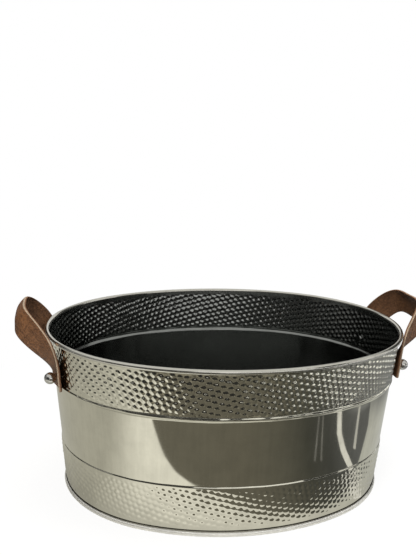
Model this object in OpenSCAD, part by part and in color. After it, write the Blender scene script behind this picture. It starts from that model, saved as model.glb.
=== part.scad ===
// Oval steel drinks tub with a wired rim, two hammered bands and two leather strap handles.
// Millimetres. +Z is up, +X is the long axis, and the origin is on the ground under the middle of the tub.

/* [Tub] */
// Length over the rolled rim
rim_l = 488; // [440:1:560]
// Radius of the rim's two end curves, on the outside of the roll
end_r = 196; // [180:1:205]
// Height from the ground to the top of the rim
tub_h = 218; // [200:1:260]
// How far the wall draws in from the rim down to the ground
wall_draw = 21.5; // [10:0.5:32]
// Thickness of the sheet metal
sheet_t = 1; // [0.6:0.1:1.5]

/* [Bands] */
// Height of the line under the upper hammered band
upper_line_h = 152; // [125:1:152]
// Height of the line over the lower hammered band
lower_line_h = 66; // [40:1:90]
// How far the hammered bands stand proud of the plain middle band
band_step = 1; // [0.4:0.1:2]
// Height over which a band line rounds from one face to the other
line_h = 4; // [2:0.5:8]

/* [Rim and foot] */
// Diameter of the wire inside the rolled rim
wire_d = 4; // [3:0.2:6]
// Diameter of the round foot hoop
foot_d = 6; // [4:0.5:9]
// Depth of the flat ground along the hoop's underside
foot_flat = 0.5; // [0.3:0.1:0.8]
// Height of the foot hoop's inner lip, which carries the floor
lip_h = 9; // [9:0.5:14]
// Height of the floor pan's upturned edge
pan_edge_h = 9; // [6:0.5:14]
// Inside radius of the bend round the floor pan
pan_bend_r = 4; // [2:0.5:5]

/* [Strap handles] */
// Width of a leather strap
strap_w = 35; // [26:1:40]
// Thickness of a leather strap
strap_t = 4; // [3:0.25:5]
// Bevel along the strap's cut edges
strap_bevel = 0.7; // [0.3:0.1:1.2]
// Distance between the two studs of one handle, square to the long axis
stud_gap = 117; // [105:1:130]
// Height of the studs
stud_h = 169; // [160:1:180]
// Length of strap below a stud
tail_len = 15; // [12:1:20]
// Distance above a stud where the strap starts to leave the wall
leave_len = 3; // [0:0.5:8]
// Share of the half loop, from the wall, at which the leather flexes
flex_share = 0.2; // [0.18:0.01:0.22]

/* [Strap curve] */
// How far the middle of the loop stands out past the rim
loop_out = 32; // [30:1:42]
// How far the middle of the loop stands above the rim
loop_up = 17; // [14:1:26]
// Lean of the loop's middle back towards the tub, in degrees
loop_lean = 11.5; // [0:0.5:20]
// Pull along the wall's slope as the strap leaves the wall
lead_len = 26; // [22:1:30]
// How far the loop's shoulder point stands out past the loop's middle
shoulder_out = 2; // [0:0.5:5]
// How far that point stands above the loop's middle
shoulder_up = 9; // [6:1:13]
// Pull of the loop's crown to each side of its middle
crown_len = 36; // [30:1:42]
// Turn of the strap's edge towards the rear on its way up
edge_turn = 0.17; // [0.05:0.01:0.3]

/* [Studs] */
// Diameter of a stud's ball
ball_d = 15; // [12:0.5:18]
// Diameter of the collar between ball and strap
collar_d = 9; // [8:0.5:11]
// Length of that collar
collar_len = 2.6; // [2:0.2:5]
// Diameter of the barrel through strap and wall
shank_d = 6; // [5.5:0.5:7]
// Diameter of the screw that draws the stud home from inside
screw_d = 4; // [3:0.5:4]
// Depth of the screw's thread in the stud, past the wall's outer face
screw_in = 7; // [5:0.5:9]
// Diameter of the screw's low head
head_d = 10; // [8:0.5:12]
// Height of that head
head_h = 1.8; // [1.4:0.1:2.4]
// Width of the slot across the head
slot_w = 1.2; // [0.8:0.1:1.6]
// Diameter of the washer inside the tub
washer_d = 14; // [12:0.5:18]
// Thickness of that washer
washer_t = 0.8; // [0.6:0.1:1.5]

/* [Hidden] */
// Clearances: a hole round a shank, metal seated on metal, leather beside metal, thread, and the flexing cut
hole_gap = 0.2;
seat_gap = 0.1;
skin_gap = 0.3;
thread_gap = 0.05;
flex_gap = 0.35;

// Rim oval of four arcs. Side curves meet the end curves in tangents, on lines that rise 15 for every 8 along X.
half_l = rim_l / 2;
end_x = half_l - end_r;
side_y = end_x * 15 / 8;
side_r = end_r + end_x * 17 / 8;
turn_a = atan2(15, 8);
cut_x = 480;
cut_y = 900;

// The roll's centre, and the wall's outer face: a straight line that leans out by draft_a
roll_r = wire_d / 2 + sheet_t;
roll_z = tub_h - roll_r;
face_top = sheet_t - 2 * roll_r;
face_slope = wall_draw / roll_z;
draft_a = atan(face_slope);
wall_foot_z = foot_d - foot_flat + seat_gap;
line_steps = 4;
function face_x(z) = face_top - (roll_z - z) * face_slope;

// A stud stands on an end curve, turned by stud_a about the end centre
stud_y = stud_gap / 2;
stud_r = end_r + face_x(stud_h);
stud_a = asin(stud_y / stud_r);
strap_off = skin_gap + strap_t / 2;
ball_z = skin_gap + strap_t + collar_len + sqrt(ball_d * ball_d - collar_d * collar_d) / 2;
washer_sag = washer_d * washer_d / (8 * (stud_r - sheet_t));
washer_z = sheet_t + washer_sag + seat_gap;
head_z = washer_z + washer_t + seat_gap;
shank_end = sheet_t + washer_sag;

// The strap's middle line runs up the wall from its tail, then along a curve of five points to the loop's middle
half_rings = 22;
wall_up = [cos(stud_a) * sin(draft_a), -sin(stud_a) * sin(draft_a), cos(draft_a)];
wall_out = [cos(stud_a) * cos(draft_a), -sin(stud_a) * cos(draft_a), -sin(draft_a)];
wall_side = [-sin(stud_a), -cos(stud_a), 0];
stud_foot = [end_x + stud_r * cos(stud_a), -stud_r * sin(stud_a), stud_h];
strap_seat = stud_foot + strap_off * wall_out;
leave_pt = strap_seat + leave_len * wall_up;
loop_mid = [half_l + loop_out, 0, tub_h + loop_up];
loop_pts = [
    leave_pt,
    leave_pt + lead_len * wall_up,
    loop_mid + [shoulder_out, -stud_y, shoulder_up],
    loop_mid + [0, -crown_len, 0],
    loop_mid
];
mid_wide = [-sin(loop_lean), 0, cos(loop_lean)];
turn_wide = mid_wide + [0, edge_turn, 0];
flex_line = [0, -1, 0];

function unit(v) = v / norm(v);
function flip_y(v) = [v.x, -v.y, v.z];
function curve_at(p, u) = let (w = 1 - u)
    pow(w, 4) * p[0] + 4 * u * pow(w, 3) * p[1] + 6 * u * u * w * w * p[2]
    + 4 * pow(u, 3) * w * p[3] + pow(u, 4) * p[4];
function curve_dir(p, u) = let (w = 1 - u)
    unit(pow(w, 3) * (p[1] - p[0]) + 3 * u * w * w * (p[2] - p[1])
    + 3 * u * u * w * (p[3] - p[2]) + pow(u, 3) * (p[4] - p[3]));

// Stations along a strap: -1 is the front tail, 0 where it leaves the wall, 1 the loop's middle, 3 the rear tail
function strap_pt(s) = s > 1 ? flip_y(strap_pt(2 - s))
    : s < 0 ? leave_pt + s * (tail_len + leave_len) * wall_up
    : curve_at(loop_pts, s);
function strap_dir(s) = s <= 0 ? wall_up : curve_dir(loop_pts, s);
function wide_turn(s) = let (u = max(s, 0), w = 1 - u)
    w * w * wall_side + 2 * u * w * turn_wide + u * u * mid_wide;
function flex_near(s) = let (u = max(0, 1 - abs(s - flex_share) / flex_share)) u * u * (3 - 2 * u);
function wide_raw(s) = (1 - flex_near(s)) * wide_turn(s) + flex_near(s) * flex_line;
function strap_wide(s) = s > 1 ? flip_y(strap_wide(2 - s))
    : let (d = strap_dir(s), r = wide_raw(s)) unit(r - (r * d) * d);
function strap_face(s) = s > 1 ? flip_y(strap_face(2 - s)) : cross(strap_dir(s), strap_wide(s));

strap_section = let (a = strap_w / 2, b = strap_t / 2, c = strap_bevel) [
    [a, b - c], [a - c, b], [c - a, b], [-a, b - c],
    [-a, c - b], [c - a, -b], [a - c, -b], [a, c - b]
];
function strap_ring(s) = let (p = strap_pt(s), w = strap_wide(s), n = strap_face(s))
    [for (k = strap_section) p + k.x * w + k.y * n];

// The leather flexes about a line along Y through both legs of the loop
flex_pt = strap_pt(flex_share);
flex_wide = strap_wide(flex_share);
flex_dir = strap_dir(flex_share);
flex_r = norm([flex_wide.x, flex_wide.z]) * strap_w / 2 + strap_t / 2 + skin_gap;
flex_a = atan2(flex_dir.x, flex_dir.z);
flex_over = 0.1;
reach = rim_l;

$fn = 96;

// Carries a profile round the oval. The profile's x is measured outwards from the outside of the rim.
module round_oval() {
    end_cut = [[end_x, 0], [end_x + cut_x, -cut_y], [end_x + cut_x, cut_y]];
    side_cut = [[0, -side_y], [end_x + cut_x, cut_y], [-end_x - cut_x, cut_y]];
    for (half = [0, 1]) mirror([half, 0, 0]) intersection() {
        translate([end_x, 0, 0]) rotate_extrude() translate([end_r, 0]) children();
        linear_extrude(2 * tub_h) polygon(end_cut);
    }
    for (half = [0, 1]) mirror([0, half, 0]) intersection() {
        translate([0, -side_y, 0]) rotate_extrude()
            translate([end_r, 0]) translate([2 * end_x, 0]) translate([end_x / 8, 0]) children();
        linear_extrude(2 * tub_h) polygon(side_cut);
    }
}

// Points of the oval at a distance outwards from the outside of the rim
function oval_pts(off, steps) = [for (half = [0, 180], i = [0:2 * steps - 1])
    let (q = i < steps, u = (i % steps) / steps)
    let (a = half + (q ? (2 * u - 1) * turn_a : turn_a + u * (180 - 2 * turn_a)))
    let (c = half == 0 ? 1 : -1, r = (q ? end_r : side_r) + off)
    [(q ? c * end_x : 0) + r * cos(a), (q ? 0 : -c * side_y) + r * sin(a)]];

// Moves a piece from the front of the right end to any of the four corners, by left or right and front or rear
module at_corner(left, rear) {
    mirror([left ? 1 : 0, 0, 0]) mirror([0, rear ? 1 : 0, 0]) children();
}

// Puts a stud's own axis, +Z outwards, on the wall's face
module on_wall() {
    translate(stud_foot) rotate(-stud_a) rotate([0, 90 + draft_a, 0]) children();
}

// A band line rounds over from one face to the other in a smooth S
function line_pts(z, rise) = [for (i = [0:line_steps]) let (u = i / line_steps, h = z + (u - 0.5) * line_h)
    [face_x(h) - band_step * (rise ? 1 - u * u * (3 - 2 * u) : u * u * (3 - 2 * u)), h]];

module wall_profile() {
    outer = concat(
        [[face_x(wall_foot_z), wall_foot_z]],
        line_pts(lower_line_h, false),
        line_pts(upper_line_h, true),
        [[face_x(roll_z), roll_z]]
    );
    inner = [for (i = [len(outer) - 1:-1:0]) outer[i] - [sheet_t, 0]];
    polygon(concat(outer, inner));
    translate([-roll_r, roll_z]) difference() {
        circle(r = roll_r);
        circle(d = wire_d);
    }
}

module tub_wall() {
    color("silver") difference() {
        round_oval() wall_profile();
        for (left = [false, true], rear = [false, true]) at_corner(left, rear) on_wall()
            cylinder(d = shank_d + 2 * hole_gap, h = 6 * sheet_t, center = true);
    }
}

module rim_wire() {
    color("gray") round_oval() translate([-roll_r, roll_z]) circle(d = wire_d - 2 * thread_gap);
}

// Pressed pan: a flat floor on the hoop's lip, with a rounded edge turned up along the wall
module floor_pan() {
    pan_z = lip_h + seat_gap;
    edge_z = pan_z + sheet_t + pan_edge_h;
    edge_x = min(face_x(pan_z), face_x(edge_z)) - sheet_t - seat_gap;
    bend = pan_bend_r + sheet_t;
    flat_w = 4 * bend;
    color("silver") {
        round_oval() {
            translate([edge_x - bend - flat_w, pan_z]) square([flat_w, sheet_t]);
            translate([edge_x - sheet_t, pan_z + bend]) square([sheet_t, edge_z - pan_z - bend]);
            translate([edge_x - bend, pan_z + bend]) intersection() {
                difference() {
                    circle(r = bend);
                    circle(r = pan_bend_r);
                }
                translate([0, -bend]) square(bend);
            }
        }
        translate([0, 0, pan_z]) linear_extrude(sheet_t) polygon(oval_pts(edge_x - bend - flat_w / 2, 20));
    }
}

// Hoop under the wall's edge, flat below, with a lip inside the wall that carries the floor
module foot_hoop() {
    hoop_x = face_x(0);
    lip_x = face_x(wall_foot_z) - sheet_t - seat_gap;
    color("silver") round_oval() {
        translate([hoop_x, foot_d / 2 - foot_flat]) intersection() {
            circle(d = foot_d);
            translate([-foot_d / 2, foot_flat - foot_d / 2]) square(foot_d);
        }
        translate([lip_x - sheet_t, foot_d / 2]) square([sheet_t, lip_h - foot_d / 2]);
    }
}

// Solid strap between two stations, with a beveled flat section that turns with the leather
module strap_run(first, last, steps) {
    n = len(strap_section);
    pts = [for (i = [0:steps]) each strap_ring(first + (last - first) * i / steps)];
    sides = [for (i = [0:steps - 1], j = [0:n - 1]) let (a = i * n + j, b = i * n + (j + 1) % n)
        each [[a, b + n, b], [a, a + n, b + n]]];
    caps = [for (j = [1:n - 2]) each [[0, j, j + 1], [steps * n, steps * n + j + 1, steps * n + j]]];
    polyhedron(points = pts, faces = concat(sides, caps));
}

// Cylinder and half space that part the flexing loop from the ends clamped by the studs
module flex_roll(r) {
    translate([flex_pt.x, 0, flex_pt.z]) rotate([90, 0, 0]) cylinder(r = r, h = reach, center = true);
}
module flex_side(upper) {
    translate([flex_pt.x, 0, flex_pt.z]) rotate([0, flex_a, 0])
        translate([-reach / 2, -reach / 2, upper ? 0 : -reach]) cube(reach);
}

module strap_loop(left) {
    color("saddlebrown") at_corner(left, false) difference() {
        strap_run(flex_share - flex_over, 2 - flex_share + flex_over, 2 * half_rings);
        difference() {
            flex_side(false);
            flex_roll(flex_r);
        }
    }
}

module strap_end(left, rear) {
    color("saddlebrown") at_corner(left, rear) difference() {
        strap_run(-1, flex_share + flex_over, half_rings);
        flex_side(true);
        flex_roll(flex_r + flex_gap);
        on_wall() cylinder(d = shank_d + 2 * hole_gap, h = 4 * strap_t, center = true);
    }
}

// One turned piece: ball, collar against the leather, and a tapped barrel through strap and wall
module ball_stud(left, rear) {
    color("silver") at_corner(left, rear) on_wall() difference() {
        union() {
            translate([0, 0, ball_z]) sphere(d = ball_d);
            translate([0, 0, skin_gap + strap_t + seat_gap])
                cylinder(d = collar_d, h = ball_z - skin_gap - strap_t);
            translate([0, 0, -shank_end]) cylinder(d = shank_d, h = shank_end + ball_z);
        }
        translate([0, 0, -2 * shank_end])
            cylinder(d = screw_d + 2 * thread_gap, h = 2 * shank_end + screw_in + seat_gap);
    }
}

module washer(left, rear) {
    color("gray") at_corner(left, rear) on_wall() translate([0, 0, -washer_z - washer_t]) difference() {
        cylinder(d = washer_d, h = washer_t);
        cylinder(d = screw_d + 2 * hole_gap, h = 4 * washer_t, center = true);
    }
}

// Low slotted head inside the tub, with a plain shank for the thread
module back_screw(left, rear) {
    color("silver") at_corner(left, rear) on_wall() translate([0, 0, -head_z]) difference() {
        union() {
            mirror([0, 0, 1]) cylinder(d1 = head_d, d2 = head_d - head_h, h = head_h);
            translate([0, 0, -head_h / 2]) cylinder(d = screw_d, h = head_h / 2 + head_z + screw_in);
        }
        translate([0, 0, -head_h]) cube([2 * head_d, slot_w, head_h], center = true);
    }
}

tub_wall();
rim_wire();
floor_pan();
foot_hoop();
strap_loop(true);  // left_strap_loop
strap_end(true, false);  // left_strap_front_end
strap_end(true, true);  // left_strap_rear_end
strap_loop(false);  // right_strap_loop
strap_end(false, false);  // right_strap_front_end
strap_end(false, true);  // right_strap_rear_end
ball_stud(true, false);  // left_front_ball_stud
ball_stud(true, true);  // left_rear_ball_stud
ball_stud(false, false);  // right_front_ball_stud
ball_stud(false, true);  // right_rear_ball_stud
washer(true, false);  // left_front_washer
washer(true, true);  // left_rear_washer
washer(false, false);  // right_front_washer
washer(false, true);  // right_rear_washer
back_screw(true, false);  // left_front_back_screw
back_screw(true, true);  // left_rear_back_screw
back_screw(false, false);  // right_front_back_screw
back_screw(false, true);  // right_rear_back_screw
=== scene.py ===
import math
import bmesh
import bpy
import numpy as np
from mathutils import Matrix, Vector


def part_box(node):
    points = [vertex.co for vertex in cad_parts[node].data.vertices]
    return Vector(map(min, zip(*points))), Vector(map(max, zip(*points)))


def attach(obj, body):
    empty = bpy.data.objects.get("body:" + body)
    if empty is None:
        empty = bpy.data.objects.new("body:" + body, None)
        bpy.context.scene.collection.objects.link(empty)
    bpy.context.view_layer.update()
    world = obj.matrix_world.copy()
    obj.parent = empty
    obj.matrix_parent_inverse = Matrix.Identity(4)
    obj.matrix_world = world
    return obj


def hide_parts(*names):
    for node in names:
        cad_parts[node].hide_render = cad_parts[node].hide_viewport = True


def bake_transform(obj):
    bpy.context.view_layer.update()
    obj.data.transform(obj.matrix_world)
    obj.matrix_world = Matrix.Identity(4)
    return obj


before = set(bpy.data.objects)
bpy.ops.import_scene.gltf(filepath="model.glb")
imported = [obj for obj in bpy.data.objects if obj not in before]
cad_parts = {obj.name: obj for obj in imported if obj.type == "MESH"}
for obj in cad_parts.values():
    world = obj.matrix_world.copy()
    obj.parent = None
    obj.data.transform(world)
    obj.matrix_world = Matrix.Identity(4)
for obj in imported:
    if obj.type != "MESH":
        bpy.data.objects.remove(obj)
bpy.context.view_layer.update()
scene = bpy.context.scene
print("frame loaded with", len(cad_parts), "nodes")

# Sizes are in metres. +X is the long axis, towards the right handle, and -Y is the side the camera sees.
tub = {
    "sheet": 0.001,         # thickness of the wall
    "wire": 0.004,          # wire in the rim
    "draw": 0.0215,         # how far the wall draws in from rim to ground
    "meanFace": -0.015,     # offset from the rim's outer curve at which the girth is measured
    "upperLine": 0.152,     # height of the line under the upper band
    "lowerLine": 0.066,     # height of the line over the lower band
    "beadTop": 0.006,       # from the upper line to the top of its bead, where the upper band starts
    "lineHalf": 0.002,      # half height of the lower line, from which the lower band goes down
    "rollGap": 0.0006,      # from the top of the upper band to the middle of the rim roll
}
wallLow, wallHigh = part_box("tub_wall")
halfLength, halfWidth, rimTop = wallHigh
wallFoot = wallLow[2]

# The rim's outer curve: two end arcs round (+-endX, 0) and two side arcs round (0, +-sideY), which meet in
# tangents at turnAngle.
endX = (halfLength - halfWidth) * 4 / 3
endRadius = halfLength - endX
sideY = endX * 15 / 8
sideRadius = endRadius + endX * 17 / 8
turnAngle = math.atan2(15, 8)
endArc = 2 * turnAngle * (endRadius + tub["meanFace"])
sideArc = (math.pi - 2 * turnAngle) * (sideRadius + tub["meanFace"])
girth = 2 * (endArc + sideArc)

rollRadius = tub["wire"] / 2 + tub["sheet"]
rollZ = rimTop - rollRadius
faceTop = tub["sheet"] - 2 * rollRadius
faceSlope = tub["draw"] / rollZ
draft = math.atan(faceSlope)


class Wire:
    # wraps a shader socket: operators add Math nodes, node() adds any other kind
    def __init__(self, tree, socket=None):
        self.tree = tree
        self.socket = socket

    def node(self, kind, settings=None, inputs=None, out=0):
        made = self.tree.nodes.new("ShaderNode" + kind)
        for key, value in (settings or {}).items():
            if key == "stops":
                while len(made.color_ramp.elements) < len(value):
                    made.color_ramp.elements.new(0.5)
                for element, (place, colour) in zip(made.color_ramp.elements, value):
                    element.position = place
                    element.color = colour
            elif key == "curve":
                made.color_ramp.interpolation = value
            else:
                setattr(made, key, value)
        for key, value in (inputs or {}).items():
            if isinstance(value, Wire):
                self.tree.links.new(value.socket, made.inputs[key])
            else:
                made.inputs[key].default_value = value
        return Wire(self.tree, made.outputs[out])

    def maths(self, operation, *values):
        return self.node("Math", {"operation": operation}, dict(enumerate(values)))

    def __add__(self, other):
        return self.maths("ADD", self, other)

    def __radd__(self, other):
        return self.maths("ADD", other, self)

    def __sub__(self, other):
        return self.maths("SUBTRACT", self, other)

    def __rsub__(self, other):
        return self.maths("SUBTRACT", other, self)

    def __mul__(self, other):
        return self.maths("MULTIPLY", self, other)

    def __rmul__(self, other):
        return self.maths("MULTIPLY", other, self)

    def mix(self, first, second):
        # colour from first to second by this value
        return self.node("Mix", {"data_type": "RGBA"}, {0: self, 6: first, 7: second}, 2)

    def span(self, low, high, newLow=0.0, newHigh=1.0):
        # maps low..high to newLow..newHigh with soft ends
        return self.node("MapRange", {"interpolation_type": "SMOOTHSTEP"},
                         {0: self, 1: low, 2: high, 3: newLow, 4: newHigh})

    def scaled(self, factor):
        # this colour or vector times a value
        return self.node("VectorMath", {"operation": "SCALE"}, {0: self, "Scale": factor})

    def length(self):
        return self.node("VectorMath", {"operation": "LENGTH"}, {0: self}, "Value")

    def stretched(self, *scale):
        return self.node("Mapping", {}, {"Vector": self, "Scale": scale})

    def noise(self, scale, detail, roughness=0.5):
        inputs = {"Vector": self, "Scale": scale, "Detail": detail, "Roughness": roughness}
        return self.node("TexNoise", {}, inputs)

    def into(self, socket):
        self.tree.links.new(self.socket, socket)


def newMaterial(name):
    material = bpy.data.materials.new(name)
    material.use_nodes = True
    return material, Wire(material.node_tree)


def shaderOf(material):
    return material.node_tree.nodes["Principled BSDF"]


def surfaceOf(material):
    return material.node_tree.nodes["Material Output"].inputs["Surface"]


def rgb(red, green, blue):
    return (red, green, blue, 1.0)


# Steel: a warm silver metal. Cloudy wear and broad upright streaks darken it, wear and fine upright polishing
# lines roughen it, and a slow noise gives the sheet its waviness.
def steel(name, colour, roughness, wear, wave=0.05, lines=0.0, streaks=0.1, metallic=1.0):
    material, wire = newMaterial(name)
    sockets = shaderOf(material).inputs
    place = wire.node("TexCoord", out=3)
    tone = place.noise(38.0, 5.0, 0.6).span(0.35, 0.7)
    polish = place.stretched(900.0, 900.0, 14.0).noise(1.0, 2.0)
    streak = place.stretched(190.0, 190.0, 5.0).noise(1.0, 3.0)
    dark = [0.78 * part for part in colour]
    shade = 0.4 * tone + streaks * streak.span(0.3, 0.7)
    shade.mix(rgb(*colour), rgb(*dark)).into(sockets["Base Color"])
    (roughness + wear * tone + lines * polish).into(sockets["Roughness"])
    slow = place.noise(9.0, 1.0)
    wire.node("Bump", {}, {"Strength": wave, "Distance": 0.004, "Height": slow}).into(sockets["Normal"])
    sockets["Metallic"].default_value = metallic
    return material


mirrorSteel = steel("mirrorSteel", (0.77, 0.75, 0.64), 0.045, 0.03, lines=0.02, streaks=0.25)
hammeredSteel = steel("hammeredSteel", (0.75, 0.73, 0.625), 0.05, 0.04, streaks=0.15)
# The same steel painted darker for the inside of the tub and the fittings there: painted shade of the dim
# inside.
shadedInsideSteel = steel("shadedInsideSteel", (0.32, 0.33, 0.32), 0.11, 0.05, streaks=0.3)
rolledSteel = steel("rolledSteel", (0.77, 0.755, 0.69), 0.12, 0.06)
# Steel for the foot, paler and partly not metal so that it shows brighter: painted light for the bright floor
# the foot reflects.
paleLitFootSteel = steel("paleLitFootSteel", (0.93, 0.92, 0.87), 0.36, 0.08, metallic=0.82)
fittingSteel = steel("fittingSteel", (0.72, 0.71, 0.68), 0.08, 0.05, wave=0.0)
# Near black steel for a thin ring over the foot: painted shade in the crevice where the wall meets the foot.
seamShadeSteel = steel("seamShadeSteel", (0.07, 0.066, 0.057), 0.5, 0.2, wave=0.0, streaks=0.2)
print("steel materials made")


# Turns a grid of points [along, round] into a mesh that closes on itself round. Along, it closes or gets end
# caps where asked. Faces are turned outwards by the sign of the volume they enclose, and edges over sharp
# degrees stay creased.
def gridPiece(name, points, material, closeAlong=False, capEnds=False, sharp=40.0):
    along, around = points.shape[:2]
    number = np.arange(along * around).reshape(along, around)
    a = number if closeAlong else number[:-1]
    b = np.roll(number, -1, 0) if closeAlong else number[1:]
    quads = np.stack([a, b, np.roll(b, -1, 1), np.roll(a, -1, 1)], -1).reshape(-1, 4)
    verts = points.reshape(-1, 3)
    corner = verts[quads]
    volume = np.einsum("ij,ij->i", corner[:, 0], np.cross(corner[:, 1], corner[:, 2])).sum()
    volume += np.einsum("ij,ij->i", corner[:, 0], np.cross(corner[:, 2], corner[:, 3])).sum()
    ends = [number[0, ::-1], number[-1]] if capEnds else []
    if volume < 0:
        quads = quads[:, ::-1]
        ends = [end[::-1] for end in ends]
    loops = np.concatenate([quads.ravel(), *ends]).astype(np.int32)
    sizes = np.concatenate([np.full(len(quads), 4), [len(end) for end in ends]]).astype(np.int32)
    mesh = bpy.data.meshes.new(name)
    mesh.vertices.add(len(verts))
    mesh.vertices.foreach_set("co", verts.astype(np.float32).ravel())
    mesh.loops.add(len(loops))
    mesh.loops.foreach_set("vertex_index", loops)
    mesh.polygons.add(len(sizes))
    mesh.polygons.foreach_set("loop_start", (np.cumsum(sizes) - sizes).astype(np.int32))
    mesh.polygons.foreach_set("loop_total", sizes)
    mesh.polygons.foreach_set("use_smooth", np.ones(len(sizes), bool))
    mesh.update(calc_edges=True)
    mesh.validate()
    mesh.set_sharp_from_angle(angle=math.radians(sharp))
    mesh.materials.append(material)
    piece = bpy.data.objects.new(name, mesh)
    scene.collection.objects.link(piece)
    return piece


# The oval's four arcs share one outward angle: the angle at evenly spaced places round the wall.
def ovalAngles(count):
    knots = np.cumsum([0, endArc, sideArc, endArc, sideArc])
    angles = [-turnAngle, turnAngle, math.pi - turnAngle, math.pi + turnAngle, 2 * math.pi - turnAngle]
    return np.interp(np.arange(count) / count * knots[-1], knots, angles)


# Point at an outward angle and an offset from the rim's outer curve:
# arc centre + (arc radius + offset) * direction.
def ovalPoints(angle, offset, height):
    angle, offset, height = np.broadcast_arrays(angle, offset, height)
    c, s = np.cos(angle), np.sin(angle)
    onEnd = np.abs(s) <= math.sin(turnAngle) + 1e-9
    radius = np.where(onEnd, endRadius, sideRadius) + offset
    x = np.where(onEnd, np.sign(c) * endX, 0) + radius * c
    y = np.where(onEnd, 0, -np.sign(s) * sideY) + radius * s
    return np.stack([x, y, height], -1)


# The wall's outer face leans out in a straight line up to the roll.
def faceOffset(height):
    return faceTop - (rollZ - height) * faceSlope


# 0 below 0, 1 above 1, and 3 u^2 - 2 u^3 between.
def smoothStep(u):
    u = np.clip(u, 0, 1)
    return u * u * (3 - 2 * u)


hammer = {
    "repeats": 45,          # times that the slanted pattern closes round the wall
    "samples": 28,          # mesh columns for one repeat
    "height": 0.00093,      # from valley to crown of a knob
    "vary": 0.45,           # share by which the knobs differ in height
    "mean": 0.4,            # share of the height at which the plain sheet lies
    "reach": 0.62,          # radius of a knob, in pitches
    "stray": 0.065,         # how far a knob strays, in pitches
    "fade": 0.0045,         # height over which the knobs die out at a band's edge
    "upper": (0.1575, 0.2105),      # lowest and highest marks of the upper band
    "lower": (0.0105, 0.0635),      # and of the lower band
}
columns = hammer["repeats"] * hammer["samples"]
roundAngles = ovalAngles(columns)
# Three steps along a row and one along the next slanted row close one repeat, so a row falls by this angle.
knobPitch = girth / hammer["repeats"] / math.sqrt(13)
rowFall = math.atan2(math.sqrt(3) / 2, 3.5)
rowRise = math.pi / 3 - rowFall
rowStep = knobPitch * np.array([math.cos(rowFall), -math.sin(rowFall)])
slantStep = knobPitch * np.array([math.cos(rowRise), math.sin(rowRise)])


# A number from 0 to 1 that is fixed for each knob: the fraction of a large sine of its place.
def knobNoise(along, up, seed):
    wave = np.sin(np.mod(along, girth) * 129.898 + up * 782.33 + seed * 37.719)
    return np.modf(np.abs(wave * 43758.5453))[0]


# Height of the hammering at each column and height: the tallest of the nearby knobs (1 - (r / R)^2)^2, which
# stand in rows 60 degrees apart, less a share of that height so that the sheet's middle stays where it was.
def hammerHeight(heights, low, high):
    along = (np.arange(columns) / columns * girth)[None, :]
    up = (heights - low)[:, None]
    toRows = np.linalg.inv(np.stack([rowStep, slantStep], 1))
    row, slant = np.einsum("ij,j...->i...", toRows, np.stack(np.broadcast_arrays(along, up)))
    tallest = np.zeros(row.shape)
    for i in (-1, 0, 1, 2):
        for j in (-1, 0, 1, 2):
            markRow, markSlant = np.floor(row) + i, np.floor(slant) + j
            markAlong = markRow * rowStep[0] + markSlant * slantStep[0]
            markUp = markRow * rowStep[1] + markSlant * slantStep[1]
            size, strayX, strayZ = (knobNoise(markAlong, markUp, seed) - 0.5 for seed in (1, 2, 3))
            dx = (along - markAlong) / knobPitch - 2 * hammer["stray"] * strayX
            dz = (up - markUp) / knobPitch - 2 * hammer["stray"] * strayZ
            knob = np.clip(1 - (dx * dx + dz * dz) / hammer["reach"] ** 2, 0, 1) ** 2
            tallest = np.maximum(tallest, knob * (1 + hammer["vary"] * size))
    edge = smoothStep((heights - low) / hammer["fade"]) * smoothStep((high - heights) / hammer["fade"])
    return (tallest - hammer["mean"]) * hammer["height"] * edge[:, None]


# A skin is a closed shell: the hammered face on one side, and a plain face at the middle of the sheet on
# the other.
def hammeredSkin(name, low, high, marks, inner, material):
    heights = np.linspace(low, high, int(round((high - low) / girth * columns)) + 1)
    face = faceOffset(heights)[:, None] + hammerHeight(heights, *marks)
    if inner:
        face = face - tub["sheet"]
    ends = np.array([high, low])
    back = (faceOffset(ends) - tub["sheet"] / 2)[:, None] + np.zeros((1, columns))
    offset = np.concatenate([face, back])
    height = np.concatenate([heights, ends])[:, None]
    piece = gridPiece(name, ovalPoints(roundAngles[None, :], offset, height), material, closeAlong=True)
    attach(piece, "tub")
    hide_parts("tub_wall")


upperLow, upperHigh = tub["upperLine"] + tub["beadTop"], rollZ - tub["rollGap"]
lowerLow, lowerHigh = wallFoot, tub["lowerLine"] - tub["lineHalf"]
hammeredSkin("upperBand", upperLow, upperHigh, hammer["upper"], False, hammeredSteel)
hammeredSkin("upperBandInside", upperLow, upperHigh, hammer["upper"], True, shadedInsideSteel)
hammeredSkin("lowerBand", lowerLow, lowerHigh, hammer["lower"], False, hammeredSteel)
hammeredSkin("lowerBandInside", lowerLow, lowerHigh, hammer["lower"], True, shadedInsideSteel)
print("hammered bands made, knobs", round(knobPitch * 1000, 2), "mm apart")

plainBand = {
    "step": 0.001,          # how far it lies behind the hammered bands
    "lineCrisp": 0.0024,    # height over which the lower line rounds over
    "beadFoot": 0.0015,     # from the upper line down to the foot of its bead
    "beadCrown": 0.0023,    # from the upper line up to the bead's crown
    "bead": 0.0009,         # how far the bead stands proud of the upper band
    "uneven": 0.15,         # share by which that varies round the wall
    "waver": 0.00016,       # how much the lines waver up and down
    "waverFade": 0.002,     # height under the bead's top over which the wavering ends
    # waves as (times round the wall, share, phase)
    "unevenWaves": [(19, 0.6, 0.5), (37, 0.6, 2.1), (71, 0.4, 4.4)],
    "waverWaves": [(7, 1.0, 0.0), (17, 0.7, 1.3), (41, 0.5, 4.0)],
    # mesh rows at the lower line, on the flat and at the bead
    "lineRows": 17,
    "flatRows": 12,
    "beadRows": 30,
    "flatStart": 0.006,     # from the lower line to the first row of the flat
    "flatEnd": 0.004,       # from the last row of the flat to the bead's foot
    "beadStart": 0.001,     # from the first close row to the bead's foot
}


# Sum of share * sin(times * angle + phase) at every second column round the wall.
def roundWaves(waves):
    around = 2 * math.pi * np.arange(0, columns, 2) / columns
    return sum(share * np.sin(times * around + phase) for times, share, phase in waves)


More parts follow.
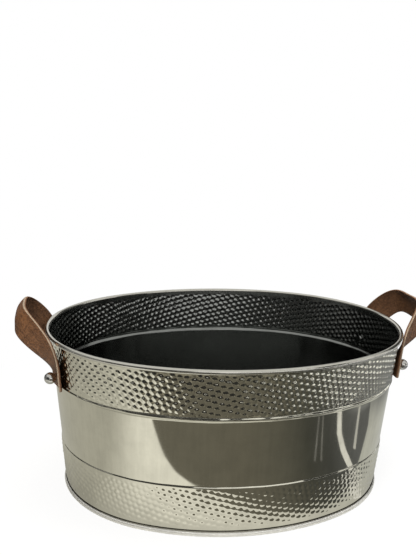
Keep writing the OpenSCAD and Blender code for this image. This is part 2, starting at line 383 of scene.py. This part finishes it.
# The plain middle band lies back by the step between its two lines. Its face is a sum of soft steps up the
# wall: in at the lower line, out under the bead of the upper line and in again over it. The lines waver a
# little, as rolled by hand.
def middleBand(name, inner, material):
    lineZ, half = tub["lowerLine"], tub["lineHalf"]
    beadLow = tub["upperLine"] - plainBand["beadFoot"]
    beadCrown = tub["upperLine"] + plainBand["beadCrown"]
    beadTop = tub["upperLine"] + tub["beadTop"]
    heights = np.concatenate([
        np.linspace(lineZ - half, lineZ + half, plainBand["lineRows"]),
        np.linspace(lineZ + plainBand["flatStart"], beadLow - plainBand["flatEnd"], plainBand["flatRows"]),
        np.linspace(beadLow - plainBand["beadStart"], beadTop, plainBand["beadRows"])])
    waver = plainBand["waver"] * roundWaves(plainBand["waverWaves"])
    fade = smoothStep((beadTop - heights) / plainBand["waverFade"])
    wavy = heights[:, None] - waver[None, :] * fade[:, None]
    step = plainBand["step"]
    bead = plainBand["bead"] * (1 + plainBand["uneven"] * roundWaves(plainBand["unevenWaves"]))[None, :]
    face = -step * smoothStep((wavy - lineZ) / plainBand["lineCrisp"] + 0.5)
    face = face + (step + bead) * smoothStep((wavy - beadLow) / (beadCrown - beadLow))
    face = face - bead * smoothStep((wavy - beadCrown) / (beadTop - beadCrown))
    outer = faceOffset(heights)[:, None] + face
    core = outer - tub["sheet"] / 2
    offset = np.concatenate([outer - tub["sheet"] if inner else outer, core[::-1]])
    height = np.concatenate([heights, heights[::-1]])[:, None]
    piece = gridPiece(name, ovalPoints(roundAngles[None, ::2], offset, height), material, closeAlong=True)
    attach(piece, "tub")
    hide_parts("tub_wall")


middleBand("middleBand", False, mirrorSteel)
middleBand("middleBandInside", True, shadedInsideSteel)

hoops = {
    "sides": 32,            # of a hoop's section
    "footRadius": 0.003,
    "footFlat": 0.0005,     # depth of the foot's flat underside
    "seamHeight": 0.0070,   # of the dark ring over the foot, painted shade in the crevice between wall and foot
    "seamRadius": 0.0006,
    "seamWall": 0.0068,     # height of the wall's face that the seam is set out from
    "seamProud": 0.0003,    # from that face out to the seam's middle
}


# A round section (offset + radius * cos, height + radius * sin) carried round the oval, and cut off below by
# the depth of the flat.
def roundHoop(name, offset, height, radius, flat, material, nodes):
    around = np.linspace(0, 2 * math.pi, hoops["sides"], endpoint=False)[:, None]
    z = np.maximum(height + radius * np.sin(around), height - radius + flat)
    points = ovalPoints(roundAngles[None, ::2], offset + radius * np.cos(around), z)
    piece = gridPiece(name, points, material, closeAlong=True)
    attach(piece, "tub")
    if nodes:
        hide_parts(*nodes)


footRadius, footFlat = hoops["footRadius"], hoops["footFlat"]
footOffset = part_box("foot_hoop")[1][0] - footRadius - halfLength
seamOffset = faceOffset(hoops["seamWall"]) + hoops["seamProud"]
roundHoop("rimRoll", -rollRadius, rollZ, rollRadius, 0.0, rolledSteel, ["tub_wall"])
roundHoop("footHoop", footOffset, footRadius - footFlat, footRadius, footFlat, paleLitFootSteel, ["foot_hoop"])
# a dark ring in the crevice over the foot: painted shade
roundHoop("footSeamShade", seamOffset, hoops["seamHeight"], hoops["seamRadius"], 0.0, seamShadeSteel, [])
print("middle band, rim and foot made")

strap = {
    "width": 0.035,
    "thick": 0.004,
    "corner": 0.0011,       # rounding of the cut edges
    "endShrink": 0.6,       # share of that rounding at the cut ends
    "studGap": 0.117,       # between the two studs of a handle
    "studHeight": 0.169,
    "skinGap": 0.0003,      # between leather and wall
    "tail": 0.015,          # leather below a stud
    "leave": 0.003,         # above a stud, where the leather leaves the wall
    "loopOut": 0.032,       # the loop's middle past the rim
    "loopUp": 0.017,        # and above it
    "lean": math.radians(11.5),     # of the loop's middle towards the tub
    "lead": 0.026,          # pull along the wall where the leather leaves it
    "shoulderOut": 0.002,   # shoulder point past the loop's middle
    "shoulderUp": 0.009,    # and above it
    "crown": 0.036,         # pull of the loop's crown to each side
    "edgeTurn": 0.17,       # turn of the edge towards the rear on its way up
    "belly": 0.007,         # how far the loop's face bellies out
    "curl": 0.011,          # how far its upper edge curls in
    "cupFrom": 0.4,         # station at which the cupping starts
    "cupLength": 0.45,      # stations over which it sets in
    "curlFrom": 0.35,       # share of the width at which the curl starts
    "edgeLift": 0.0045,     # how far the edge beside a stud stands off the wall
    "liftEnd": 0.35,        # station at which that ends
    "flexShare": 0.2,       # where along the half loop the leather bends
    "flexLength": 0.026,    # length of leather that takes the bend
    # mesh rows along the tail and the half loop, round a corner of the section and across its face
    "tailRows": 18,
    "loopRows": 100,
    "bendRows": 6,
    "flatRows": 14,
}
studY = strap["studGap"] / 2
studRadius = endRadius + faceOffset(strap["studHeight"])
studAngle = math.asin(studY / studRadius)
studDirection = np.array([math.cos(studAngle), -math.sin(studAngle), 0])
upright = np.array([0, 0, 1])
wallUp = studDirection * math.sin(draft) + upright * math.cos(draft)
wallOut = studDirection * math.cos(draft) - upright * math.sin(draft)
wallSide = np.array([-math.sin(studAngle), -math.cos(studAngle), 0])
studFoot = np.array([endX, 0, strap["studHeight"]]) + studRadius * studDirection
leavePoint = studFoot + (strap["skinGap"] + strap["thick"] / 2) * wallOut + strap["leave"] * wallUp
loopMiddle = np.array([halfLength + strap["loopOut"], 0, rimTop + strap["loopUp"]])
loopPoints = np.array([
    leavePoint,
    leavePoint + strap["lead"] * wallUp,
    loopMiddle + [strap["shoulderOut"], -studY, strap["shoulderUp"]],
    loopMiddle + [0, -strap["crown"], 0],
    loopMiddle])
middleWide = np.array([-math.sin(strap["lean"]), 0, math.cos(strap["lean"])])
turnWide = middleWide + [0, strap["edgeTurn"], 0]


def unit(v):
    return v / np.linalg.norm(v, axis=-1, keepdims=True)


# Half a strap, station -1 at its tail, 0 where it leaves the wall, 1 at the loop's middle. The middle line is
# the curve of five points sum(C(4, k) u^k (1 - u)^(4 - k) P_k), and the width direction turns from the wall's
# level line to the loop's upright one.
def halfStrap(station):
    u = np.clip(station, 0, 1)[:, None]
    w = 1 - u
    middle = (w ** 4 * loopPoints[0] + 4 * u * w ** 3 * loopPoints[1] + 6 * u * u * w * w * loopPoints[2]
              + 4 * u ** 3 * w * loopPoints[3] + u ** 4 * loopPoints[4])
    middle = middle + np.minimum(station, 0)[:, None] * (strap["tail"] + strap["leave"]) * wallUp
    legs = np.diff(loopPoints, axis=0)
    along = unit(w ** 3 * legs[0] + 3 * u * w * w * legs[1] + 3 * u * u * w * legs[2] + u ** 3 * legs[3])
    wide = w * w * wallSide + 2 * u * w * turnWide + u * u * middleWide
    wide = unit(wide - (wide * along).sum(1, keepdims=True) * along)
    return middle, wide, np.cross(along, wide)


# Section of the leather: a rectangle with rounded corners, as (across, through) places.
def strapSection():
    r = strap["corner"]
    a, b = strap["width"] / 2 - r, strap["thick"] / 2 - r
    bends = np.linspace(0, math.pi / 2, strap["bendRows"])
    flats = a * np.linspace(-1, 1, strap["flatRows"] + 2)[1:-1]
    parts = []
    for turn, (cx, cy) in enumerate([(a, b), (-a, b), (-a, -b), (a, -b)]):
        angle = bends + turn * math.pi / 2
        parts.append(np.stack([cx + r * np.cos(angle), cy + r * np.sin(angle)], 1))
        if turn == 0:
            parts.append(np.stack([-flats, np.full(len(flats), b + r)], 1))
        if turn == 2:
            parts.append(np.stack([flats, np.full(len(flats), -b - r)], 1))
    return np.concatenate(parts)


# The right strap: a half and its mirror image end to end. A point of the section stands at
# middle + across * width direction + through * face direction. Returns the points, the length run along the
# strap and a measure that goes from 0 at a cut end to 1.
def strapShape(section):
    tail = np.linspace(-1, 0, strap["tailRows"] + 1)[:-1]
    station = np.concatenate([tail, np.linspace(0, 1, strap["loopRows"])])
    flip = np.array([1, -1, 1])
    middle, wide, face = (np.concatenate([part, part[-2::-1] * flip]) for part in halfStrap(station))
    run = np.concatenate([[0], np.cumsum(np.linalg.norm(np.diff(middle, axis=0), axis=1))])
    # the cut ends are eased over: the section shrinks a little in the last millimetre
    ease = np.clip(np.minimum(run, run[-1] - run) / strap["corner"], 0, 1)
    shrink = (strap["corner"] * strap["endShrink"] * (1 - np.sqrt(1 - (1 - ease) ** 2 + 1e-9)))[:, None]
    across = section[None, :, 0] - np.sign(section[None, :, 0]) * shrink
    through = section[None, :, 1] - np.sign(section[None, :, 1]) * shrink
    # round the loop's middle the leather cups: its upper edge curls in and the face below it bellies out
    share = np.concatenate([station, station[-2::-1]])[:, None]
    upper = 0.5 + across / strap["width"]
    curl = np.clip((upper - strap["curlFrom"]) / (1 - strap["curlFrom"]), 0, 1) ** 2
    cup = smoothStep((share - strap["cupFrom"]) / strap["cupLength"])
    through = through + cup * (strap["belly"] * upper - strap["curl"] * curl)
    # beside the stud the edge nearer the tub's side stands off the wall
    outerHalf = np.clip(2 * upper - 1, 0, 1) ** 1.5
    lift = smoothStep((strap["liftEnd"] - share) / strap["liftEnd"])
    through = through + lift * strap["edgeLift"] * outerHalf
    points = middle[:, None] + across[..., None] * wide[:, None] + through[..., None] * face[:, None]
    return points, run, ease


# Marks that the leather's material reads: cut edge, back face and rim from 0 to 1, and a UV in metres that
# runs across and along the strap.
def markStrap(mesh, section, run, ease):
    shape = (len(run), len(section))
    edge = np.clip((np.abs(section[:, 0]) - strap["width"] / 2 + strap["corner"]) / strap["corner"], 0, 1)
    edge = np.maximum(np.broadcast_to(edge, shape), np.where(ease < 0.5, 1.0, 0.0)[:, None])
    behind = np.broadcast_to(np.clip(0.5 - section[:, 1] / strap["thick"], 0, 1), shape)
    rim = np.broadcast_to(np.abs(2 * section[:, 0] / strap["width"]) ** 10, shape)
    for name, values in (("rawEdge", edge), ("backFace", behind), ("rim", rim)):
        layer = mesh.attributes.new(name, "FLOAT", "POINT")
        layer.data.foreach_set("value", np.ascontiguousarray(values, np.float32).ravel())
    across = np.concatenate([[0], np.cumsum(np.linalg.norm(np.diff(section, axis=0), axis=1))])
    uv = np.stack(np.broadcast_arrays(across[None, :], run[:, None]), -1).reshape(-1, 2)
    corner = np.empty(len(mesh.loops), np.int32)
    mesh.loops.foreach_get("vertex_index", corner)
    layer = mesh.uv_layers.new(name="UVMap")
    layer.data.foreach_set("uv", uv[corner].astype(np.float32).ravel())


leatherTones = {
    "face": (rgb(0.064, 0.027, 0.0105), rgb(0.178, 0.079, 0.031)),      # dark and light
    "groove": rgb(0.045, 0.020, 0.010),                                 # between the pebbles of the grain
    # back tones: darker for the flesh side, and painted shade on the face turned to the tub
    "back": (rgb(0.048, 0.022, 0.0105), rgb(0.112, 0.054, 0.026)),
    "rim": rgb(0.050, 0.026, 0.014),
    "raw": (rgb(0.17, 0.125, 0.085), rgb(0.36, 0.285, 0.210)),          # cut edge
    "rawBackShade": rgb(0.125, 0.060, 0.032),                                # cut edge towards the back, painted shade of the gap between strap and wall
}


# Leather: brown face with pebbled grain, long fibres and darker rims, a darker back, partly the flesh side
# and partly painted shade, and pale raw edges with painted shade on their half towards the back.
def strapLeather():
    material, wire = newMaterial("strapLeather")
    sockets = shaderOf(material).inputs
    uv = wire.node("UVMap")
    rawEdge, backFace, rim = (wire.node("Attribute", {"attribute_name": name}, out=2)
                              for name in ("rawEdge", "backFace", "rim"))
    patch = uv.noise(60.0, 4.0, 0.62)
    fleck = uv.noise(420.0, 3.0, 0.6)
    grain = wire.node("TexVoronoi", {"feature": "DISTANCE_TO_EDGE"}, {"Vector": uv, "Scale": 620.0})
    fibre = uv.stretched(520.0, 46.0, 1.0).noise(1.0, 4.0, 0.65)
    strand = uv.stretched(2600.0, 260.0, 1.0).noise(1.0, 3.0)
    shade = (0.25 * patch + 0.45 * fleck + 0.3 * fibre).span(0.40, 0.62)
    face = shade.mix(*leatherTones["face"])
    face = grain.span(0.0, 0.13, 0.45, 0.0).mix(face, leatherTones["groove"])
    # the back face: the flesh side, darkened further as painted shade
    back = shade.mix(*leatherTones["back"])
    skin = (0.45 * rim).mix(backFace.mix(face, back), leatherTones["rim"])
    raw = strand.span(0.3, 0.7).mix(*leatherTones["raw"])
    # painted shade: the raw edge darkens towards the back, where it faces the wall
    raw = backFace.span(0.3, 0.62).mix(raw, leatherTones["rawBackShade"])
    rawEdge.span(0.35, 0.7).mix(skin, raw).into(sockets["Base Color"])
    (0.50 + 0.16 * fleck + 0.20 * rawEdge + 0.10 * backFace).into(sockets["Roughness"])
    relief = (0.6 * grain.span(0.0, 0.2) + 0.8 * fibre) * (1 - rawEdge) + 0.5 * fleck + 0.6 * strand * rawEdge
    wire.node("Bump", {}, {"Strength": 0.4, "Distance": 0.0007, "Height": relief}).into(sockets["Normal"])
    sockets["Specular IOR Level"].default_value = 0.35
    return material


leather = strapLeather()


# One handle's strap: it follows the tub and forms the handle, the right one mirrored for the left. The line
# where the leather would bend is worked out, but nothing uses it.
def leatherStrap(side):
    sign = 1 if side == "right" else -1
    section = strapSection()
    points, run, ease = strapShape(section)
    piece = gridPiece(side + "Strap", points * np.array([sign, 1, 1]), leather, capEnds=True, sharp=60.0)
    markStrap(piece.data, section, run, ease)
    flexPoint, flexWide, flexFace = (part[0] for part in halfStrap(np.array([strap["flexShare"]])))
    rise = unit(np.cross(flexWide, flexFace) * [1, 0, 1]) * [sign, 1, 1]
    flexPoint = flexPoint * [sign, 0, 1]
    reach = rise * strap["flexLength"] / 2
    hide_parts(side + "_strap_loop", side + "_strap_front_end", side + "_strap_rear_end")
    tuple(flexPoint - reach)
    tuple(flexPoint + reach)
    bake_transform(piece)


for side in ("left", "right"):
    leatherStrap(side)
print("leather straps made")

stud = {
    "ball": 0.0075,         # radii of ball, collar and barrel
    "collar": 0.0045,
    "barrel": 0.003,
    "collarLength": 0.0026,
    "seat": 0.0001,         # between collar and leather
    "fillet": 0.0006,       # rounding of the collar's edge
    "inside": 0.0012,       # how far the barrel goes in behind the wall's face
    "sides": 48,            # mesh columns round the stud
    "ballRows": 40,
    "filletRows": 5,
}


def closePoles(piece):
    work = bmesh.new()
    work.from_mesh(piece.data)
    bmesh.ops.remove_doubles(work, verts=work.verts, dist=1e-6)
    bmesh.ops.recalc_face_normals(work, faces=work.faces)
    work.to_mesh(piece.data)
    work.free()


# A turned stud: its profile (radius, height along the stud's axis) is turned in a circle and closed at both
# poles.
def ballStud(side, end):
    ball, collar, barrel, fillet = stud["ball"], stud["collar"], stud["barrel"], stud["fillet"]
    leatherFace = strap["skinGap"] + strap["thick"]
    seatZ = leatherFace + stud["seat"]
    ballZ = leatherFace + stud["collarLength"] + math.sqrt(ball ** 2 - collar ** 2)
    angle = np.linspace(math.pi - math.asin(collar / ball), 0, stud["ballRows"])
    bend = np.linspace(0, math.pi / 2, stud["filletRows"])
    profile = np.concatenate([
        [[0, -stud["inside"]], [barrel, -stud["inside"]], [barrel, seatZ], [collar - fillet, seatZ]],
        np.stack([collar - fillet + fillet * np.sin(bend), seatZ + fillet - fillet * np.cos(bend)], 1)[1:],
        np.stack([ball * np.sin(angle), ballZ + ball * np.cos(angle)], 1)])
    turn = np.linspace(0, 2 * math.pi, stud["sides"], endpoint=False)
    radius, z = profile[:, 0, None], profile[:, 1, None]
    local = np.stack([radius * np.cos(turn), radius * np.sin(turn), z + 0 * turn], -1)
    points = studFoot + local @ np.stack([wallSide, np.cross(wallSide, wallOut), wallOut])
    points = points * np.array([1 if side == "right" else -1, 1 if end == "front" else -1, 1])
    name = side + "_" + end + "_ball_stud"
    piece = gridPiece(side + end.capitalize() + "Stud", points, fittingSteel)
    closePoles(piece)
    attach(piece, "tub")
    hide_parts(name)


for side in ("left", "right"):
    for end in ("front", "rear"):
        ballStud(side, end)
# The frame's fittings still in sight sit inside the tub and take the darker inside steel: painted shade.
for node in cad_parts.values():
    if not node.hide_render:
        node.data.materials.clear()
        node.data.materials.append(shadedInsideSteel)
print("studs made, screws and washers finished")

# The camera, fitted to the rim, the band lines and the foot: the tub is turned by turn about Z before it.
photo = {
    "height": 555,          # pixels
    "focal": 760.0,         # pixels
    "distance": 1.01466,
    "rise": 0.49361,
    "pitch": 0.2080,        # angles in radians
    "yaw": -0.0251,
    "roll": 0.0264,
    "turn": 0.2219,
    "sensor": 36.0,         # millimetres
}


def makeCamera():
    pitch, yaw, roll = photo["pitch"], photo["yaw"], photo["roll"]
    ahead = Vector((math.sin(yaw) * math.cos(pitch), math.cos(yaw) * math.cos(pitch), -math.sin(pitch)))
    right = Vector((math.cos(yaw), -math.sin(yaw), 0))
    up = right.cross(ahead)
    leanRight = math.cos(roll) * right + math.sin(roll) * up
    leanUp = math.cos(roll) * up - math.sin(roll) * right
    pose = Matrix((leanRight, leanUp, -ahead)).transposed().to_4x4()
    pose.translation = Vector((0, -photo["distance"], photo["rise"]))
    camera = bpy.data.objects.new("camera", bpy.data.cameras.new("camera"))
    camera.data.sensor_width = photo["sensor"]
    camera.data.lens = photo["focal"] / photo["height"] * photo["sensor"]
    camera.data.clip_start = 0.05
    camera.data.clip_end = 50.0
    camera.matrix_world = Matrix.Rotation(-photo["turn"], 4, "Z") @ pose
    scene.collection.objects.link(camera)
    scene.camera = camera


makeCamera()


# A flat card of the stage. The cards that steer reflections are seen in the metal alone.
def stageCard(name, corners, material, onlyInMetal=True):
    mesh = bpy.data.meshes.new(name)
    mesh.from_pydata([tuple(corner) for corner in corners], [], [tuple(range(len(corners)))])
    mesh.materials.append(material)
    card = bpy.data.objects.new(name, mesh)
    scene.collection.objects.link(card)
    if onlyInMetal:
        card.visible_camera = False
        card.visible_shadow = False
        card.visible_diffuse = False


cards = {
    "floorHalf": 4.0,       # half sides of the two squares on the ground
    "mirrorHalf": 2.0,
    "floorZ": -0.0003,      # heights of the cards on the ground, one just over the other
    "mirrorZ": 0.0004,
    "ribbonZ": 0.001,
}


def square(half, height):
    return [(-half, -half, height), (half, -half, height), (half, half, height), (-half, half, height)]


def glowWith(material, wire, colour, strength):
    wire.node("Emission", {}, {"Color": colour, "Strength": strength}).into(surfaceOf(material))


# Pale floor: a plain white surface under the lamps, and white where the camera looks at it, with a trace of
# the shadow.
def floorMaterial():
    material, wire = newMaterial("paleFloor")
    sockets = shaderOf(material).inputs
    sockets["Base Color"].default_value = rgb(0.86, 0.855, 0.84)
    sockets["Roughness"].default_value = 0.9
    sockets["Specular IOR Level"].default_value = 0.0
    away = wire.node("TexCoord", out=3).length()
    white = wire.node("Emission", {}, {"Color": rgb(1, 1, 1), "Strength": 1.0})
    seen = wire.node("LightPath", out="Is Camera Ray") * away.span(0.2, 0.6, 0.86, 1.0)
    lit = Wire(material.node_tree, shaderOf(material).outputs[0])
    wire.node("MixShader", {}, {0: seen, 1: lit, 2: white}).into(surfaceOf(material))
    return material


mirror = {
    "reach": 0.6,           # how far the edges below are drawn to either side
    # front and rear edge of the pale sheet that the metal shows, as (x, y) from left to right
    "frontEdge": [(-0.6, -0.498), (-0.195, -0.283), (-0.150, -0.267), (-0.057, -0.251), (0.03, -0.2115),
                  (0.13, -0.1735), (0.38, -0.090), (0.6, -0.090)],
    "rearEdge": [(-0.6, 0.53), (-0.3, 0.47), (-0.2, 0.38), (-0.08, 0.315), (0.08, 0.285), (0.2, 0.31),
                 (0.3, 0.42), (0.6, 0.53)],
    "slant": 0.93,          # turns a distance along Y into one about square to an edge
    "footHalf": (0.2175, 0.1815),   # half length and half width of the foot
    # tone of the dark room, from the left hand (0) to the right (1)
    "roomTones": [(0.0, rgb(0.17, 0.16, 0.13)), (0.5, rgb(0.145, 0.135, 0.108)),
                  (0.66, rgb(0.115, 0.11, 0.09)), (0.76, rgb(0.068, 0.068, 0.058)),
                  (0.84, rgb(0.069, 0.070, 0.066)), (0.94, rgb(0.130, 0.133, 0.136))],
}


# The y of an edge at each x: a ramp along X whose grey stands for y.
def edgeRamp(x, edge, curve):
    reach = mirror["reach"]
    stops = [((edgeX + reach) / 2 / reach, rgb(*[(edgeY + reach) / 2 / reach] * 3)) for edgeX, edgeY in edge]
    across = (x + reach) * (0.5 / reach)
    return x.node("ValToRGB", {"stops": stops, "curve": curve}, {0: across}) * (2 * reach) - reach


# What the metal sees of the floor: a pale sheet, brightest along its two edges and dim close to the foot, and
# the dark room beyond the edges, uneven and black further out, with a bright, broken far side on the right.
def mirroredFloor():
    material, wire = newMaterial("mirroredFloor")
    place = wire.node("TexCoord", out=3)
    x, y = (wire.node("SeparateXYZ", {}, {0: place}, axis) for axis in (0, 1))
    depth = place.length()
    turn = wire.maths("ARCTAN2", x, wire.maths("ABSOLUTE", y))
    front = (y - edgeRamp(x, mirror["frontEdge"], "LINEAR")) * mirror["slant"]
    rear = (edgeRamp(x, mirror["rearEdge"], "B_SPLINE") - y) * mirror["slant"]
    footX, footY = mirror["footHalf"]
    away = place.stretched(1 / footX, 1 / footY, 0).length()
    # the pale sheet: its edges, its outer part, its right end and the shade round the foot
    pale = front.span(0.02, 0.22).mix(rgb(0.93, 0.915, 0.85), rgb(0.47, 0.46, 0.41))
    pale = rear.span(0.01, 0.14).mix(rgb(0.90, 0.885, 0.82), pale)
    pale = (depth.span(0.46, 0.53) * front.span(0.45, 0.30)).mix(pale, rgb(0.62, 0.61, 0.55))
    pale = x.span(0.02, 0.28).mix(pale, rgb(0.53, 0.535, 0.505))
    pale = x.span(0.35, 0.52).mix(pale, rgb(0.22, 0.225, 0.23))
    pale = pale.scaled(away.span(1.0, 1.35, 0.76, 1.0))
    pale = away.span(0.99, 1.02).mix(rgb(0.12, 0.12, 0.11), pale)
    # the room: its tone round the tub, uneven further out and, except on the right, black beyond that
    room = wire.node("ValToRGB", {"stops": mirror["roomTones"]}, {0: turn.span(-1.6, 1.6)})
    clutter = place.noise(9.0, 1.0).span(0.4, 0.6, -0.6, 1.0)
    lift = depth.span(0.43, 0.48) * clutter + depth.span(0.42, 0.55) * x.span(0.12, 0.45) * 0.3 + 1
    room = room.scaled(lift)
    room = (depth.span(0.56, 0.72) * turn.span(0.35, 0.1)).mix(room, rgb(0.02, 0.02, 0.02))
    # the far side
    far = turn.span(0.15, 0.75).mix(rgb(0.03, 0.03, 0.028), rgb(0.90, 0.905, 0.89))
    far = far.scaled(place.noise(16.0, 1.0).span(0.42, 0.58, 0.1, 2.4))
    tone = wire.maths("MINIMUM", front, rear).span(-0.002, 0.002).mix(room, pale)
    tone = depth.span(0.74, 0.98).mix(tone, far)
    tone = depth.span(1.1, 1.9).mix(tone, rgb(0.025, 0.025, 0.024))
    glowWith(material, wire, tone, 1.0)
    return material


stageCard("floor", square(cards["floorHalf"], cards["floorZ"]), floorMaterial(), onlyInMetal=False)
stageCard("mirroredFloor", square(cards["mirrorHalf"], cards["mirrorZ"]), mirroredFloor())


def glowMaterial(name, strength):
    material, wire = newMaterial(name)
    glowWith(material, wire, rgb(1.0, 0.99, 0.96), strength)
    return material


# The panes stand at a distance from the tub's middle, and elevations start from a point at this height.
paneStand = {"distance": 2.2, "height": 0.15}
# Upright panes of light round the studio, seen only in the metal: azimuth and half width, lowest and highest
# elevation in degrees, and brightness.
panes = {
    "frontPane": (287, 25, 5, 24, 1.0),
    "rightPane": (352, 20, 6, 30, 0.8),
    "leftPane": (176, 20, 6, 30, 0.25),
    "nearPane": (262, 12, 14, 42, 0.85),
    "rearPane": (90, 35, 8, 30, 0.7),
}


def lightPane(name, azimuth, spread, low, high, strength):
    turn, spread, low, high = (math.radians(value) for value in (azimuth, spread, low, high))
    distance = paneStand["distance"]
    middle = Vector((math.cos(turn), math.sin(turn), 0)) * distance
    across = Vector((-math.sin(turn), math.cos(turn), 0)) * distance * math.tan(spread)
    bottom, top = (Vector((0, 0, paneStand["height"] + distance * math.tan(rise))) for rise in (low, high))
    first, last = middle - across, middle + across
    stageCard(name, [first + bottom, last + bottom, last + top, first + top], glowMaterial(name, strength))


for name, values in panes.items():
    lightPane(name, *values)

# Ribbons of light on the floor, seen only in the metal: points of the middle line, half width, brightness.
ribbons = {
    "longStrip": ([(0.170, -0.128), (0.240, -0.160), (0.268, -0.200), (0.300, -0.236), (0.346, -0.266),
                   (0.420, -0.307)], 0.010, 0.80),
    "shortStrip": ([(0.290, -0.160), (0.440, -0.186)], 0.007, 0.55),
    "thinStripA": ([(0.185, -0.253), (0.290, -0.338)], 0.0022, 0.22),
    "thinStripB": ([(0.200, -0.241), (0.300, -0.324)], 0.0022, 0.22),
    "rearStrip": ([(-0.070, 0.291), (-0.250, 0.640)], 0.012, 0.78),
}


# The ribbon's two edges lie half a width to either side of its line.
def lightStrip(name, line, half, strength):
    line = np.array(line)
    ahead = unit(np.gradient(line, axis=0))
    across = half * np.stack([-ahead[:, 1], ahead[:, 0]], 1)
    outline = np.concatenate([line - across, (line + across)[::-1]])
    corners = [(x, y, cards["ribbonZ"]) for x, y in outline.tolist()]
    stageCard(name, corners, glowMaterial(name, strength))


for name, values in ribbons.items():
    lightStrip(name, *values)

# Lamps: place, the point they aim at, size, watts and colour.
lamps = {
    "keyLight": ((-0.8, -1.5, 1.5), (0, 0, 0.1), 0.9, 41.0, (1.0, 0.97, 0.92)),
    "topLight": ((0.1, 0.3, 2.0), (0, 0, 0.1), 1.2, 22.0, (1.0, 0.98, 0.95)),
    "sideLight": ((1.2, -0.5, 1.2), (0, 0, 0.12), 0.7, 12.0, (0.97, 0.98, 1.0)),
}


def areaLight(name, place, aim, size, power, colour):
    light = bpy.data.objects.new(name, bpy.data.lights.new(name, "AREA"))
    light.data.shape = "SQUARE"
    light.data.size = size
    light.data.energy = power
    light.data.color = colour
    light.location = place
    light.rotation_mode = "QUATERNION"
    light.rotation_quaternion = (Vector(aim) - Vector(place)).to_track_quat("-Z", "Y")
    light.visible_glossy = False
    scene.collection.objects.link(light)


for name, values in lamps.items():
    areaLight(name, *values)


# The world is white to the camera, and a dim grey studio to the metal and the other surfaces.
def makeWorld():
    world = bpy.data.worlds.new("studio")
    scene.world = world
    world.use_nodes = True
    wire = Wire(world.node_tree)
    background = world.node_tree.nodes["Background"]
    height = wire.node("SeparateXYZ", {}, {0: wire.node("TexCoord", out=0)}, 2)
    around = height.span(0.42, 0.66).mix(rgb(0.05, 0.05, 0.048), rgb(0.66, 0.655, 0.63))
    seen = wire.node("LightPath", out="Is Camera Ray")
    seen.mix(around, rgb(1, 1, 1)).into(background.inputs["Color"])
    background.inputs["Strength"].default_value = 1.0


makeWorld()
scene.view_settings.view_transform = "Standard"
print("camera, floor and lights set")
